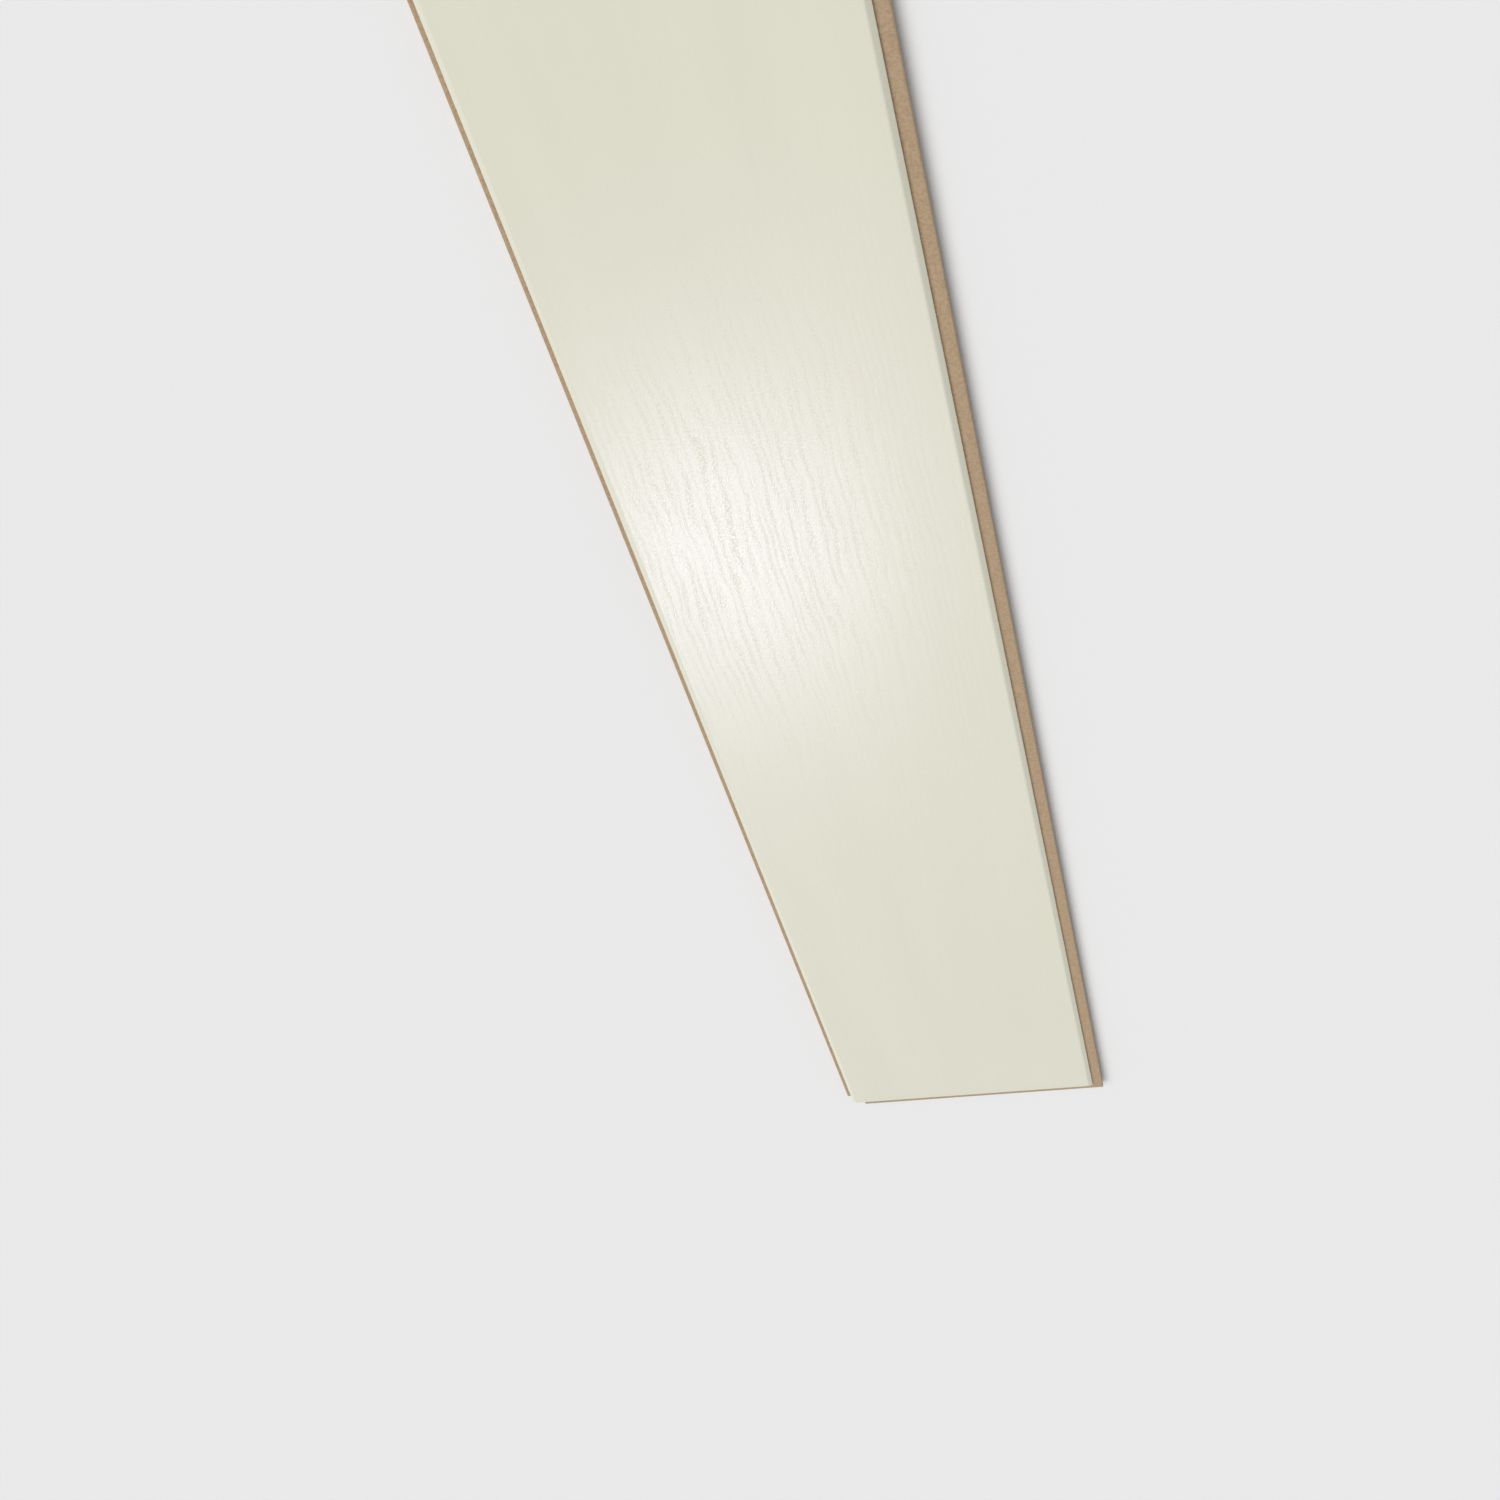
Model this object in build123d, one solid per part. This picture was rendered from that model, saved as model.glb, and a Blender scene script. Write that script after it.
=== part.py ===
from build123d import *
import os

# Board, lying on its back with the decor face up
cover_length = 2600.0  # pitch of two panels laid end to end
cover_width = 200.0  # pitch of two panels laid side by side
thickness = 12.0
joint_gap = 0.3  # shadow line left between two faces at either pitch

# Bevel round the face
bevel_width = 3.0
bevel_depth = 2.4
arris_radius = 2.0  # where the face rolls over into the bevel

# Tongue and groove
front_cheek = 4.0  # from the face to the groove
tongue_thickness = 4.0
tongue_length = 8.0
nose_radius = 1.0
tongue_play = 0.2  # above and below the tongue
nose_gap = 1.0  # between the nose and the bottom of the groove

# Back of the joint
fixing_lip = 5.0  # how far the back cheek of the long groove reaches past the front one
back_gap = 0.5  # keeps the backs apart, so that the faces close first
lip_radius = 0.8

# Levels above the back face
bevel_foot = thickness - bevel_depth
groove_top = thickness - front_cheek
tongue_top = groove_top - tongue_play
tongue_bottom = tongue_top - tongue_thickness
groove_bottom = tongue_bottom - tongue_play
groove_depth = tongue_length + nose_gap
lip_round = min(lip_radius, groove_bottom / 2)  # a thin back cheek limits it


def edge_profile(cover, lip):
    # Section across a pair of opposite edges, with the tongue on the right and the groove on the left
    shoulder = (cover - joint_gap) / 2
    face_edge = shoulder - bevel_width
    nose = shoulder + tongue_length
    back_shoulder = shoulder - lip - back_gap
    groove_end = groove_depth - shoulder
    lip_end = -shoulder - lip
    with BuildSketch() as profile:
        with BuildLine():
            Polyline(
                (face_edge, thickness),
                (shoulder, bevel_foot),
                (shoulder, tongue_top),
                (nose, tongue_top),
                (nose, tongue_bottom),
                (back_shoulder, tongue_bottom),
                (back_shoulder, 0),
                (lip_end, 0),
                (lip_end, groove_bottom),
                (groove_end, groove_bottom),
                (groove_end, groove_top),
                (-shoulder, groove_top),
                (-shoulder, bevel_foot),
                (-face_edge, thickness),
                close=True,
            )
        make_face()
        fillet(profile.vertices().group_by(Axis.X)[-1], nose_radius)
        if lip:
            fillet(profile.vertices().group_by(Axis.X)[0].sort_by(Axis.Y)[-1], lip_round)
    return profile.sketch


# Each profile is milled right across the board, so the bevels meet in mitres at the corners
long_edges = extrude(Plane.YZ * edge_profile(cover_width, fixing_lip), cover_length, both=True)
head_edges = extrude(Plane.XZ * edge_profile(cover_length, 0), cover_width, both=True)
bevelled_board = long_edges & head_edges
face_outline = bevelled_board.faces().sort_by(Axis.Z)[-1].edges()
wall_panel = fillet(face_outline, arris_radius)

os.makedirs("parts", exist_ok=True)
export_step(wall_panel, "parts/wall_panel.step")
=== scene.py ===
import bmesh
import bpy
import math
import numpy as np
from mathutils import Matrix, Vector


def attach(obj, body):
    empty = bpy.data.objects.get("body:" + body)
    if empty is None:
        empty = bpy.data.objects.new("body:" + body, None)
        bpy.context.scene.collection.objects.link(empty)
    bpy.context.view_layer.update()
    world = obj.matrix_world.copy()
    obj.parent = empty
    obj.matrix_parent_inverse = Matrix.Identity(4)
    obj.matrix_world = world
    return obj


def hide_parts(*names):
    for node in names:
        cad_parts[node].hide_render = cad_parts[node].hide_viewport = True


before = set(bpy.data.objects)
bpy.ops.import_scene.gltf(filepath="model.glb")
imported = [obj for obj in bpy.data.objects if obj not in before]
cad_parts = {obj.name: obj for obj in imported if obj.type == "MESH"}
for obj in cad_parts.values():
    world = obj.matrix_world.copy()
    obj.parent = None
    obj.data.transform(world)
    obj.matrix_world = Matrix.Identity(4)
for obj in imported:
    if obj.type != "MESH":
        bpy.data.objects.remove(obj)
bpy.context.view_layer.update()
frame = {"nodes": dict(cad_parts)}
print("frame loaded:", ", ".join(frame["nodes"]))

# grain of the decor face: rows of pores that run along the panel
# a wave is (height, radians per metre along the panel, radians per metre across it, phase)
grain = {
    "rowPitch": 0.0054,  # mean distance between two rows
    "wander": 0.0016,  # how far a row drifts sideways along the panel
    "drift": ((1.0, 3.1, 0.0, 0.4), (0.6, 7.7, 9.0, 1.9), (0.25, 19.0, -21.0, 0.0)),
    "crowding": ((0.38, 0.0, 83.0, 0.7), (0.2, 0.0, 151.0, 2.1), (0.12, 0.0, 397.0, 0.0)),
    "weave": ((0.2, 29.0, 22.0, 1.3), (0.14, 53.0, -45.0, 4.0), (0.09, 120.0, 160.0, 0.0)),
    "rowDepth": 0.00001,  # pressed depth of a row
    "rowSwell": 0.4,  # share of the depth that comes and goes along a row
    "swellRate": 26.0,  # radians per metre
    "phaseScatter": (12.9898, 43758.5453),  # gives each row a phase of its own
    "edgeFade": 0.004,  # the relief dies out this far from the bevel
}


# sum of slanted sines, each its height times the sine of its phase at the place
def waves(x, y, terms):
    return sum(height * np.sin(along * x + across * y + phase) for height, along, across, phase in terms)


# row number = drifting y over the pitch, plus waves that crowd the rows in places and let them weave
def grainRows(x, y, g):
    across = y + g["wander"] * waves(x, y, g["drift"])
    return across / g["rowPitch"] + waves(x, across, g["crowding"]) + waves(x, y, g["weave"])


# pressed depth = squared raised cosine across each row, times a slow sine along it
def pressedGrain(x, y, g):
    rows = grainRows(x, y, g)
    turn, stretch = g["phaseScatter"]
    ownPhase = math.tau * np.modf(np.abs(np.sin(turn * np.round(rows)) * stretch))[0]
    along = 1 - g["rowSwell"] + g["rowSwell"] * np.sin(g["swellRate"] * x + ownPhase)
    return -g["rowDepth"] * along * (0.5 + 0.5 * np.cos(math.tau * rows)) ** 2


# the board: every level is a rectangle, and the four edges step in and out from the face down to the back
panel = {
    "length": 2.6,  # cover sizes, joint to joint
    "width": 0.2,
    "thickness": 0.012,
    "jointGap": 0.0003,
    "bevelWidth": 0.003,
    "bevelDepth": 0.0024,
    "arrisRadius": 0.002,
    "frontCheek": 0.004,
    "tongueThickness": 0.004,
    "tongueLength": 0.008,
    "noseRadius": 0.001,
    "tonguePlay": 0.0002,
    "noseGap": 0.001,
    "fixingLip": 0.005,
    "backGap": 0.0005,
    "lipRadius": 0.0008,
    "cellsAlong": 220,
    "cellsAcross": 290,
    "arcSteps": 5,
    "weldReach": 1e-6,
    "sharpAngle": 28.0,  # degrees, an edge that turns more than this isn't shaded round
}


# rows of (height, long tongue edge, head tongue edge, long groove edge, head groove edge), where an edge
# is its distance outside the shoulder: arris = circle arc, bevel = straight line to the shoulder,
# nose and lip = quarter circles, the rest = steps at one height
def edgeProfile(p):
    slope = math.atan2(p["bevelDepth"], p["bevelWidth"])
    grooveTop = p["thickness"] - p["frontCheek"]
    tongueTop = grooveTop - p["tonguePlay"]
    tongueFoot = tongueTop - p["tongueThickness"]
    grooveFoot = tongueFoot - p["tonguePlay"]
    inGroove = -p["tongueLength"] - p["noseGap"]
    longBack = -p["fixingLip"] - p["backGap"]
    headBack = -p["backGap"]

    roll = np.linspace(0.0, slope, p["arcSteps"] + 1)
    arrisOut = p["arrisRadius"] * (np.sin(roll) - math.tan(slope / 2)) - p["bevelWidth"]
    arrisHigh = p["thickness"] - p["arrisRadius"] * (1 - np.cos(roll))
    quarter = np.linspace(0.0, math.pi / 2, p["arcSteps"])
    noseOut = p["tongueLength"] - p["noseRadius"] * (1 - np.sin(quarter))
    noseDrop = p["noseRadius"] * (1 - np.cos(quarter))
    lipOut = p["fixingLip"] - p["lipRadius"] * (1 - np.sin(quarter))
    lipDrop = p["lipRadius"] * (1 - np.cos(quarter))

    # one row, or one for each point of an arc
    def level(height, *edges):
        return np.stack(np.broadcast_arrays(*map(np.atleast_1d, (height, *edges))), 1)

    return np.concatenate([
        level(arrisHigh, arrisOut, arrisOut, arrisOut, arrisOut),
        level(p["thickness"] - p["bevelDepth"], 0, 0, 0, 0),
        level(grooveTop, 0, 0, 0, 0),
        level(grooveTop, 0, 0, inGroove, inGroove),
        level(tongueTop, 0, 0, inGroove, inGroove),
        level(tongueTop - noseDrop, noseOut, noseOut, inGroove, inGroove),
        level(tongueFoot + noseDrop[::-1], noseOut[::-1], noseOut[::-1], inGroove, inGroove),
        level(tongueFoot, longBack, headBack, inGroove, inGroove),
        level(grooveFoot, longBack, headBack, inGroove, inGroove),
        level(grooveFoot - lipDrop, longBack, headBack, lipOut, 0),
        level(0, longBack, headBack, p["fixingLip"], 0),
    ])


# points along a side in each row of the profile = low corner, inner points evenly spread, high corner;
# both rows of a step lie at one height and share their inner points, so that a side which stays put
# in the step is welded shut there
def sidePoints(low, high, height, cells):
    step = np.flatnonzero(np.diff(height) == 0)
    rows = np.concatenate([[0], step, [len(height) - 1]])
    cell = (high - low) / cells
    innerLow, innerHigh = low + cell, high - cell
    innerLow[step] = np.maximum(low[step], low[step + 1])
    innerHigh[step] = np.minimum(high[step], high[step + 1])
    innerLow = np.interp(-height, -height[rows], innerLow[rows])
    innerHigh = np.interp(-height, -height[rows], innerHigh[rows])
    return np.column_stack([low, np.linspace(innerLow, innerHigh, cells - 1, axis=1), high])


# face = grid over the flat top with the pressed grain; walls = one ring of points for each row of the
# profile, with a corner point where two sides meet, so that bevels meet in mitres;
# back = strips from side to side
def boardSurface(p, g):
    nu, nv = p["cellsAlong"], p["cellsAcross"]
    height, longTongue, headTongue, longGroove, headGroove = edgeProfile(p).T
    halfX, halfY = (p["length"] - p["jointGap"]) / 2, (p["width"] - p["jointGap"]) / 2
    lowX, highX = -halfX - headGroove, halfX + headTongue
    lowY, highY = -halfY - longGroove, halfY + longTongue
    alongX, alongY = sidePoints(lowX, highX, height, nu), sidePoints(lowY, highY, height, nv)

    x, y = np.meshgrid(alongX[0], alongY[0], indexing="ij")
    rim = np.minimum(np.minimum(x - lowX[0], highX[0] - x), np.minimum(y - lowY[0], highY[0] - y))
    fade = np.clip(rim / g["edgeFade"], 0, 1)
    z = p["thickness"] + pressedGrain(x, y, g) * fade * fade * (3 - 2 * fade)
    face = np.stack([x, y, z], -1).reshape(-1, 3)

    # once round the rim: +x along the groove side, +y up the head tongue, and back
    roundU = np.concatenate([np.arange(nu), np.full(nv, nu), np.arange(nu, 0, -1), np.zeros(nv, int)])
    roundV = np.concatenate([np.zeros(nu, int), np.arange(nv), np.full(nu, nv), np.arange(nv, 0, -1)])
    ringX, ringY = alongX[1:, roundU], alongY[1:, roundV]
    ringZ = np.broadcast_to(height[1:, None], ringX.shape)
    rings = np.stack([ringX, ringY, ringZ], -1).reshape(-1, 3)

    index = np.arange(len(face)).reshape(nu + 1, nv + 1)
    faceQuads = np.stack([index[:-1, :-1], index[1:, :-1], index[1:, 1:], index[:-1, 1:]], -1).reshape(-1, 4)
    ring = np.vstack([index[roundU, roundV], len(face) + np.arange(len(rings)).reshape(ringX.shape)])
    following = np.roll(ring, -1, axis=1)
    wallQuads = np.stack([ring[:-1], ring[1:], following[1:], following[:-1]], -1).reshape(-1, 4)

    last = ring[-1]
    south, north = last[:nu + 1], last[nu + nv:2 * nu + nv + 1][::-1]
    east, west = last[nu:nu + nv + 1], np.append(last[2 * nu + nv:], last[0])
    backQuads = np.stack([south[1:-2], north[1:-2], north[2:-1], south[2:-1]], -1)
    nearEnd = np.concatenate([south[1:2], west[::-1], north[1:2]])
    headEnd = np.concatenate([south[-2:-1], north[-2:-1], east[::-1]])
    backEnds = [nearEnd.tolist(), headEnd.tolist()]

    decorZone, rawZone, backZone = 0, 1, 2
    decorRings = p["arcSteps"] + 2  # arris, bevel and shoulder wear the decor
    wallZone = np.where(np.arange(len(ringX)) < decorRings, decorZone, rawZone)
    zone = np.concatenate([
        np.full(len(faceQuads), decorZone),
        np.repeat(wallZone, ring.shape[1]),
        np.full(len(backQuads) + len(backEnds), backZone),
    ])
    quads = np.concatenate([faceQuads, wallQuads, backQuads])
    return np.concatenate([face, rings]), quads.tolist() + backEnds, zone


# grain map: along = x, across = row number times the pitch, so pores in the shader follow the pressed rows
def addGrainMap(mesh, g):
    points = np.empty(len(mesh.vertices) * 3)
    mesh.vertices.foreach_get("co", points)
    points = points.reshape(-1, 3)
    corner = np.empty(len(mesh.loops), int)
    mesh.loops.foreach_get("vertex_index", corner)
    across = grainRows(points[:, 0], points[:, 1], g) * g["rowPitch"]
    layer = mesh.uv_layers.new(name="grainMap")
    layer.uv.foreach_set("vector", np.stack([points[:, 0], across], -1)[corner].ravel())


points, faces, zone = boardSurface(panel, grain)
boardMesh = bpy.data.meshes.new("panel_board")
boardMesh.from_pydata(points, [], faces)
boardMesh.polygons.foreach_set("use_smooth", np.ones(len(faces), bool))
boardMesh.polygons.foreach_set("material_index", zone)
boardMesh.update()
welded = bmesh.new()
welded.from_mesh(boardMesh)
bmesh.ops.remove_doubles(welded, verts=welded.verts, dist=panel["weldReach"])
welded.to_mesh(boardMesh)
welded.free()
boardMesh.set_sharp_from_angle(angle=math.radians(panel["sharpAngle"]))
addGrainMap(boardMesh, grain)
board = bpy.data.objects.new("panel_board", boardMesh)
bpy.context.scene.collection.objects.link(board)
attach(board, "root")
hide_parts("wall_panel")
print("panel board:", len(boardMesh.vertices), "points,", len(boardMesh.polygons), "faces")


# sRGB 0 to 255 into the linear colour that a shader takes
def paint(red, green, blue):
    share = np.array([red, green, blue]) / 255
    linear = np.where(share <= 0.04045, share / 12.92, ((share + 0.055) / 1.055) ** 2.4)
    return (*linear.tolist(), 1.0)


# short ways to add nodes and link them
class NodeBench:
    def __init__(self, owner, shaderName="Principled BSDF"):
        owner.use_nodes = True
        self.owner = owner
        self.nodes = owner.node_tree.nodes
        self.links = owner.node_tree.links
        self.shader = self.nodes[shaderName]

    # a socket is linked, and a number or colour is set on the socket itself
    def put(self, target, value):
        if isinstance(value, bpy.types.NodeSocket):
            self.links.new(value, target)
        else:
            target.default_value = value

    def give(self, name, value):
        self.put(self.shader.inputs[name], value)

    def math(self, operation, *values):
        node = self.nodes.new("ShaderNodeMath")
        node.operation = operation
        for socket, value in zip(node.inputs, values):
            self.put(socket, value)
        return node.outputs[0]

    def part(self, vector, axis):
        node = self.nodes.new("ShaderNodeSeparateXYZ")
        self.put(node.inputs[0], vector)
        return node.outputs[axis]

    # noise with its own count of cells per metre along each axis
    def noise(self, place, cells, detail=2.0, rough=0.5):
        stretched = self.nodes.new("ShaderNodeVectorMath")
        stretched.operation = "MULTIPLY"
        self.put(stretched.inputs[0], place)
        stretched.inputs[1].default_value = cells
        node = self.nodes.new("ShaderNodeTexNoise")
        self.put(node.inputs["Vector"], stretched.outputs[0])
        node.inputs["Scale"].default_value = 1.0
        node.inputs["Detail"].default_value = detail
        node.inputs["Roughness"].default_value = rough
        return node.outputs["Fac"]

    def ramp(self, value, low, high, outLow=0.0, outHigh=1.0, smooth=True):
        node = self.nodes.new("ShaderNodeMapRange")
        node.interpolation_type = "SMOOTHSTEP" if smooth else "LINEAR"
        self.put(node.inputs["Value"], value)
        for name, number in zip(("From Min", "From Max", "To Min", "To Max"), (low, high, outLow, outHigh)):
            node.inputs[name].default_value = number
        return node.outputs["Result"]

    def mix(self, share, first, second):
        node = self.nodes.new("ShaderNodeMix")
        node.data_type = "RGBA"
        self.put(node.inputs["Factor"], share)
        self.put(node.inputs["A"], first)
        self.put(node.inputs["B"], second)
        return node.outputs["Result"]

    def bump(self, height, depth):
        node = self.nodes.new("ShaderNodeBump")
        node.inputs["Strength"].default_value = 1.0
        node.inputs["Distance"].default_value = depth
        self.put(node.inputs["Height"], height)
        return node.outputs["Normal"]


# satin decor: cream, with fine pores in rows that break the gloss
# cells are noise cells per metre, along and across the rows, and a band is the noise range that a ramp spans
decor = {
    "cream": paint(223, 221, 203),
    "creamDeep": paint(221, 219, 201),
    "cloudCells": (3.0, 22.0, 1.0),
    "cloudBand": (0.3, 0.7),
    "pore": paint(214, 212, 194),
    "poreTint": 0.2,
    "poreDepth": 0.000012,
    "poreCells": (560.0, 1300.0, 1.0),
    "poreBand": (0.4, 0.62),
    "wobbleCells": (38.0, 150.0, 1.0),
    "rowWobble": 0.62,  # how far a row strays from its line, in rows
    "rowBand": (-0.7, 0.85),  # of the cosine across a row
    "betweenRows": 0.25,  # pores left between two rows, as a share
    "clusterCells": (18.0, 200.0, 1.0),
    "clusterBand": (0.33, 0.62),
    "thinCluster": 0.36,  # pores left where a row thins out
    "strayCells": (420.0, 1500.0, 1.0),
    "strayBand": (0.56, 0.72),
    "strayShare": 0.4,
    "roughness": 0.245,
    "poreRoughness": 0.375,
    "toothCells": (900.0, 1100.0, 1.0),
    "toothBand": (0.25, 0.75),
    "toothRoughness": 0.05,  # how much the fine tooth of the satin varies it
}


# pore = short dash, a stretched noise over a threshold; dashes gather in clusters, a longer noise,
# and most clusters lie where the cosine of the row number peaks;
# tooth = noise at speck size over all the face
def decorFinish(d, g):
    bench = NodeBench(bpy.data.materials.new("cream_satin_decor"))
    uv = bench.nodes.new("ShaderNodeUVMap")
    uv.uv_map = "grainMap"
    along = uv.outputs["UV"]

    wobbleNoise = bench.noise(along, d["wobbleCells"])
    wobble = bench.ramp(wobbleNoise, 0.0, 1.0, -d["rowWobble"], d["rowWobble"], smooth=False)
    rows = bench.math("ADD", bench.math("DIVIDE", bench.part(along, "Y"), g["rowPitch"]), wobble)
    cosine = bench.math("COSINE", bench.math("MULTIPLY", rows, math.tau))
    inRow = bench.ramp(cosine, *d["rowBand"], d["betweenRows"], 1.0)

    clusterNoise = bench.noise(along, d["clusterCells"], detail=1.0)
    cluster = bench.ramp(clusterNoise, *d["clusterBand"], d["thinCluster"], 1.0)
    dash = bench.ramp(bench.noise(along, d["poreCells"]), *d["poreBand"])
    strayNoise = bench.noise(along, d["strayCells"], detail=1.0)
    stray = bench.ramp(strayNoise, *d["strayBand"], 0.0, d["strayShare"])
    rowPores = bench.math("MULTIPLY", bench.math("MULTIPLY", inRow, cluster), dash)
    pores = bench.math("MAXIMUM", rowPores, stray)

    cloud = bench.ramp(bench.noise(along, d["cloudCells"], detail=3.0), *d["cloudBand"])
    tone = bench.mix(cloud, d["cream"], d["creamDeep"])
    bench.give("Base Color", bench.mix(bench.math("MULTIPLY", pores, d["poreTint"]), tone, d["pore"]))

    toothNoise = bench.noise(along, d["toothCells"], detail=1.0)
    tooth = bench.ramp(toothNoise, *d["toothBand"], -d["toothRoughness"], d["toothRoughness"], smooth=False)
    satin = bench.ramp(pores, 0.0, 1.0, d["roughness"], d["poreRoughness"], smooth=False)
    bench.give("Roughness", bench.math("ADD", satin, tooth))
    bench.give("Normal", bench.bump(bench.math("MULTIPLY", pores, -1.0), d["poreDepth"]))
    return bench.owner


# raw fibreboard on the machined edges: tan, all short fibres
rawBoard = {
    "tan": paint(180, 156, 126),
    "dark": paint(165, 140, 111),
    "pale": paint(194, 173, 145),
    "flakeCells": (620.0, 620.0, 2400.0),  # noise cells per metre, flat in the board's plane
    "flakeBand": (0.34, 0.62),
    "speckCells": (1900.0, 1900.0, 2800.0),
    "speckBand": (0.54, 0.74),
    "denseSkin": 0.0025,  # the board is denser and darker this near its back
    "skinShare": 0.45,
    "paleShare": 0.55,
    "roughness": 0.86,
    "fibreDepth": 0.00005,
}


# fibre = flakes, a noise squeezed in height, with fine specks over them and a darker skin near the back
def rawBoardFinish(r):
    bench = NodeBench(bpy.data.materials.new("raw_fibreboard"))
    place = bench.nodes.new("ShaderNodeTexCoord").outputs["Object"]
    flake = bench.ramp(bench.noise(place, r["flakeCells"], detail=3.0, rough=0.6), *r["flakeBand"], 1.0, 0.0)
    skin = bench.ramp(bench.part(place, "Z"), 0.0, r["denseSkin"], r["skinShare"], 0.0)
    tone = bench.mix(bench.math("MAXIMUM", flake, skin), r["tan"], r["dark"])
    speckNoise = bench.noise(place, r["speckCells"], detail=3.0, rough=0.65)
    speck = bench.ramp(speckNoise, *r["speckBand"], 0.0, r["paleShare"])
    bench.give("Base Color", bench.mix(speck, tone, r["pale"]))
    bench.give("Roughness", r["roughness"])
    bench.give("Normal", bench.bump(speckNoise, r["fibreDepth"]))
    return bench.owner


# balancing paper on the back: plain pale buff with a faint fibre cloud
backing = {
    "buff": paint(204, 194, 172),
    "deep": paint(188, 177, 154),
    "cloudCells": (16.0, 16.0, 16.0),
    "fibreCells": (260.0, 900.0, 1.0),
    "cloudShare": 0.6,
    "toneBand": (0.36, 0.64),
    "roughness": 0.72,
    "fibreDepth": 0.00002,
}


# tone = noise at hand size mixed with noise at fibre size
def backingFinish(b):
    bench = NodeBench(bpy.data.materials.new("backing_paper"))
    place = bench.nodes.new("ShaderNodeTexCoord").outputs["Object"]
    cloudNoise = bench.noise(place, b["cloudCells"], detail=4.0, rough=0.6)
    cloud = bench.math("MULTIPLY", cloudNoise, b["cloudShare"])
    fibreNoise = bench.noise(place, b["fibreCells"], detail=3.0, rough=0.6)
    fibre = bench.math("MULTIPLY", fibreNoise, 1 - b["cloudShare"])
    tone = bench.ramp(bench.math("ADD", cloud, fibre), *b["toneBand"])
    bench.give("Base Color", bench.mix(tone, b["buff"], b["deep"]))
    bench.give("Roughness", b["roughness"])
    bench.give("Normal", bench.bump(fibreNoise, b["fibreDepth"]))
    return bench.owner


# in the order of the mesh's zones
boardMesh.materials.append(decorFinish(decor, grain))
boardMesh.materials.append(rawBoardFinish(rawBoard))
boardMesh.materials.append(backingFinish(backing))
print("finishes:", ", ".join(m.name for m in boardMesh.materials))

# studio: pale floor, broad soft key from the groove side and the near end, and a soft lamp for the gloss
studio = {
    "floorColour": paint(236, 236, 236),
    "floorRoughness": 0.9,
    "floorSpecular": 0.2,
    "floorHalf": 30.0,
    "floorDrop": 0.0002,
    "worldColour": paint(255, 255, 255),
    "worldLight": 0.40,
    "backdrop": 0.82,  # what the camera and reflections see beyond the floor
    "keyFrom": (-0.58, -0.33, 0.745),
    "keySpread": 45.0,
    "keyStrength": 2.42,
    "gleamPlace": (3.306, -0.886, 2.852),
    "gleamAim": (0.6375, -0.0426, 0.012),
    "gleamSize": (0.84, 0.50),
    "gleamPower": 19.8,
    "gleamTint": (0.80, 0.755, 1.0),
}


# lamp turned so that it shines along a direction
def hangLamp(lamp, place, direction):
    holder = bpy.data.objects.new(lamp.name, lamp)
    holder.location = place
    holder.rotation_euler = direction.to_track_quat("-Z", "Y").to_euler()
    bpy.context.scene.collection.objects.link(holder)
    return holder


# floor = one flat square just under the back face
def buildFloor(s):
    half, low = s["floorHalf"], -s["floorDrop"]
    corners = [(-half, -half, low), (half, -half, low), (half, half, low), (-half, half, low)]
    floorMesh = bpy.data.meshes.new("floor")
    floorMesh.from_pydata(corners, [], [(0, 1, 2, 3)])
    floor = bpy.data.objects.new("floor", floorMesh)
    bpy.context.scene.collection.objects.link(floor)
    bench = NodeBench(bpy.data.materials.new("pale_floor"))
    bench.give("Base Color", s["floorColour"])
    bench.give("Roughness", s["floorRoughness"])
    bench.give("Specular IOR Level", s["floorSpecular"])
    floorMesh.materials.append(bench.owner)


# key = sun disc with a wide spread, gleam = elliptic area lamp,
# world = one strength for the light it gives and one for what is seen of it
def lightStudio(s):
    key = bpy.data.lights.new("key", "SUN")
    key.angle = math.radians(s["keySpread"])
    key.energy = s["keyStrength"]
    hangLamp(key, s["keyFrom"], -Vector(s["keyFrom"]))

    gleam = bpy.data.lights.new("gleam", "AREA")
    gleam.shape = "ELLIPSE"
    gleam.size, gleam.size_y = s["gleamSize"]
    gleam.energy = s["gleamPower"]
    gleam.color = s["gleamTint"]
    hanging = hangLamp(gleam, s["gleamPlace"], Vector(s["gleamAim"]) - Vector(s["gleamPlace"]))
    hanging.visible_diffuse = False  # it shows in the gloss only

    world = bpy.data.worlds.new("studio")
    bpy.context.scene.world = world
    bench = NodeBench(world, "Background")
    path = bench.nodes.new("ShaderNodeLightPath").outputs
    mirrored = bench.math("MAXIMUM", path["Is Glossy Ray"], path["Is Transmission Ray"])
    seen = bench.math("MAXIMUM", path["Is Camera Ray"], mirrored)
    bench.give("Color", s["worldColour"])
    bench.give("Strength", bench.ramp(seen, 0.0, 1.0, s["worldLight"], s["backdrop"], smooth=False))


buildFloor(studio)
lightStudio(studio)
print("studio ready")

# camera: from above the panel's middle, along it to the head tongue, rolled as the picture shows it
view = {
    "place": (-0.0985, 0.190, 0.7953),
    "right": (0.2349, 0.9707, -0.0509),
    "up": (-0.6240, 0.1104, -0.7736),
    "back": (-0.7452, 0.2135, 0.6316),
    "lens": 45.6,
    "sensor": 36.0,
}
lensData = bpy.data.cameras.new("camera")
lensData.sensor_width = view["sensor"]
lensData.lens = view["lens"]
camera = bpy.data.objects.new("camera", lensData)
axes = Matrix((view["right"], view["up"], view["back"])).transposed()
camera.matrix_world = Matrix.Translation(view["place"]) @ axes.to_4x4()
bpy.context.scene.collection.objects.link(camera)
bpy.context.scene.camera = camera
bpy.context.scene.view_settings.view_transform = "Standard"
print("camera set")
